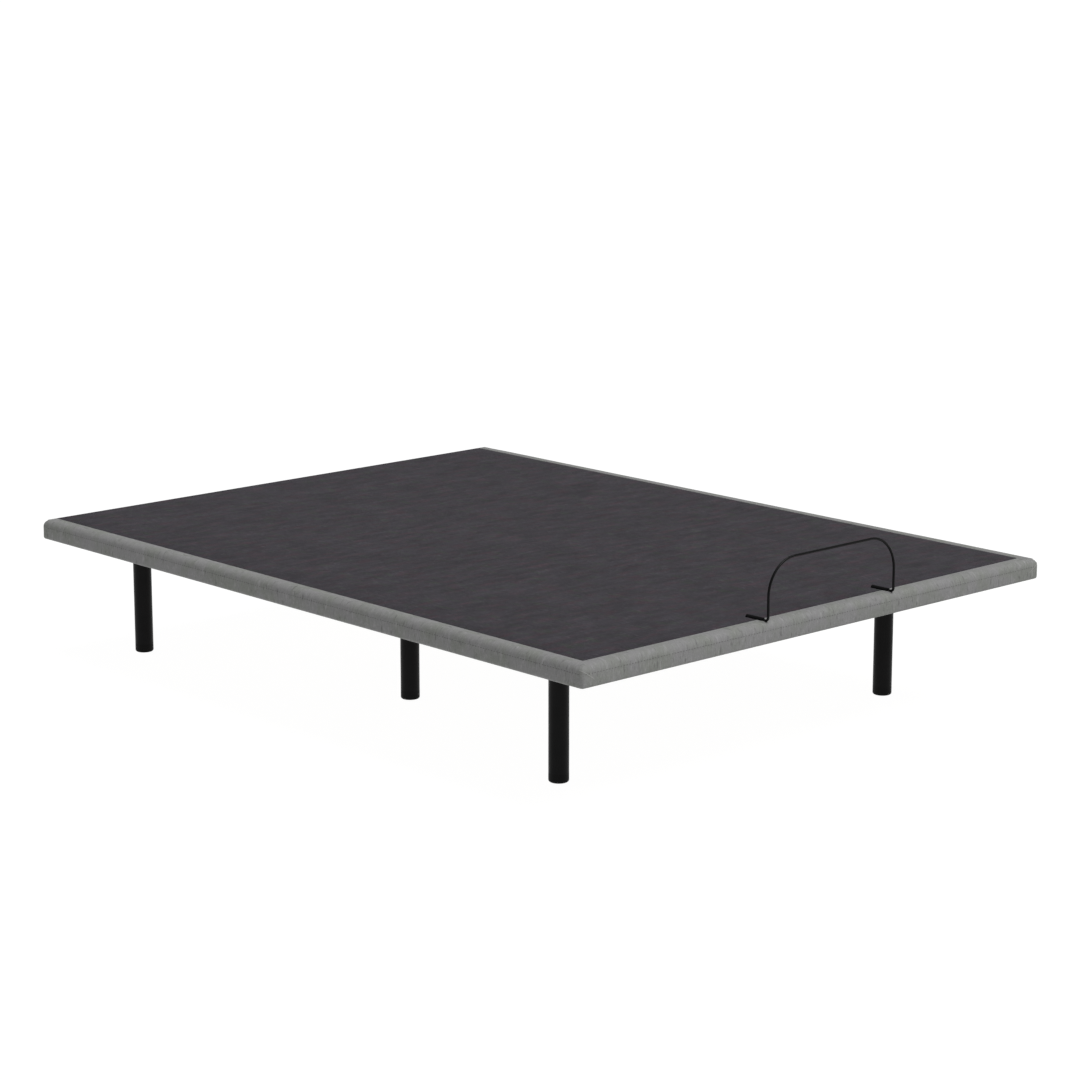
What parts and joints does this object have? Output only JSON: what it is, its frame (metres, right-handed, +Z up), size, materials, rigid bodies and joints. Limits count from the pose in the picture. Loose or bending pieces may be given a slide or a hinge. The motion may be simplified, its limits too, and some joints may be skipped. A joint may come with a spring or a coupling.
{
  "type": "adjustable bed base",
  "caption": "Low adjustable bed base with an upholstered four-part deck on black tube legs, a wire mattress retainer at the foot, and motor-driven back and thigh lifts.",
  "frame": {"origin": "on the floor, under the middle of the deck", "axes": "+Z up, +Y towards the head end along the bed, +X across it"},
  "size_m": [1.524, 2.02, 0.502],
  "materials": {
    "deck_fabric": "woven matt charcoal upholstery, with a grey heathered border",
    "plywood": "sanded birch plywood",
    "frame_paint": "satin black powder coat",
    "leg_paint": "satin black paint",
    "black_plastic": "moulded",
    "black_rubber": "matt",
    "housing_plastic": "fine moulded texture",
    "motor_can": "satin grey paint",
    "tube_paint": "satin dark grey powder coat",
    "push_steel": "ground steel",
    "white_nylon": "turned nylon",
    "lead_sheath": "soft cable sheath",
    "retainer_paint": "satin black powder coat",
    "socket_paint": "black sleeve",
    "zinc_hardware": "zinc plated"
  },
  "bodies": {
    "base": {"side_rails": "frame_paint", "leg_cross_tubes": "frame_paint", "motor_cross_tubes": "frame_paint", "tube_end_caps": "black_plastic", "corner_legs": "leg_paint", "middle_legs": "leg_paint", "leg_glides": "black_plastic", "leg_studs": "zinc_hardware", "seat_board": "plywood", "seat_pad": "deck_fabric", "seat_screws": "zinc_hardware", "seat_hinge_brackets": "frame_paint", "seat_hinge_pins": "zinc_hardware", "link_pivot_pins": "zinc_hardware", "deck_bumpers": "black_rubber", "tube_hangers": "frame_paint", "head_gearbox": "housing_plastic", "head_motor": "motor_can", "head_outer_tube": "tube_paint", "foot_gearbox": "housing_plastic", "foot_motor": "motor_can", "foot_outer_tube": "tube_paint", "guide_bushes": "white_nylon", "motor_bolts": "zinc_hardware", "control_box": "housing_plastic", "mains_inlet": "housing_plastic", "head_motor_lead": "lead_sheath", "foot_motor_lead": "lead_sheath"},
    "back": {"back_board": "plywood", "back_pad": "deck_fabric", "back_side_tubes": "frame_paint", "back_cross_tubes": "frame_paint", "back_hinge_arms": "frame_paint", "back_lever": "frame_paint", "back_screws": "zinc_hardware"},
    "thigh": {"thigh_board": "plywood", "thigh_pad": "deck_fabric", "thigh_side_tubes": "frame_paint", "thigh_cross_tubes": "frame_paint", "thigh_hinge_arms": "frame_paint", "thigh_lever": "frame_paint", "thigh_screws": "zinc_hardware", "knee_pins": "zinc_hardware"},
    "calf": {"calf_board": "plywood", "calf_pad": "deck_fabric", "calf_side_tubes": "frame_paint", "calf_cross_tubes": "frame_paint", "calf_hinge_arms": "frame_paint", "calf_screws": "zinc_hardware", "calf_link_pins": "zinc_hardware", "retainer_bar": "retainer_paint", "retainer_sockets": "socket_paint"},
    "calf_links": {"link_arms": "frame_paint", "link_cross_rod": "frame_paint"},
    "head_rod": {"head_push_rod": "push_steel", "head_roller_pin": "zinc_hardware"},
    "head_roller": {"head_roller": "white_nylon"},
    "foot_rod": {"foot_push_rod": "push_steel", "foot_roller_pin": "zinc_hardware"},
    "foot_roller": {"foot_roller": "white_nylon"}
  },
  "joints": [
    {"name": "back_lift", "type": "hinge", "parent": "base", "child": "back", "pos_m": [0, 0.235, 0.3315], "axis": [1, 0, 0], "range_deg": [0, 60]},
    {"name": "thigh_lift", "type": "hinge", "parent": "base", "child": "thigh", "pos_m": [0, 0, 0.3315], "axis": [-1, 0, 0], "range_deg": [0, 35]},
    {"name": "calf_fold", "type": "hinge", "parent": "thigh", "child": "calf", "pos_m": [0, -0.42, 0.3315], "axis": [-1, 0, 0], "range_deg": [-35, 0]},
    {"name": "link_swing", "type": "hinge", "parent": "base", "child": "calf_links", "pos_m": [0, -0.45, 0.294], "axis": [-1, 0, 0], "range_deg": [0, 35]},
    {"name": "head_rod_slide", "type": "slide", "parent": "base", "child": "head_rod", "axis": [0, 1, 0], "range_m": [0, 0.12134]},
    {"name": "foot_rod_slide", "type": "slide", "parent": "base", "child": "foot_rod", "axis": [0, -1, 0], "range_m": [0, 0.06631]},
    {"name": "head_roller_spin", "type": "hinge", "parent": "head_rod", "child": "head_roller", "pos_m": [0.15, 0.17438, 0.2265], "axis": [1, 0, 0], "continuous": true},
    {"name": "foot_roller_spin", "type": "hinge", "parent": "foot_rod", "child": "foot_roller", "pos_m": [-0.15, 0.03311, 0.2265], "axis": [1, 0, 0], "continuous": true}
  ],
  "couplings": [
    {"joint": "calf_fold", "follows": "thigh_lift", "ratio": -1},
    {"joint": "link_swing", "follows": "thigh_lift", "ratio": 1},
    {"joint": "head_rod_slide", "follows": "back_lift", "m_per_rad": 0.11578},
    {"joint": "foot_rod_slide", "follows": "thigh_lift", "m_per_rad": 0.10839}
  ]
}
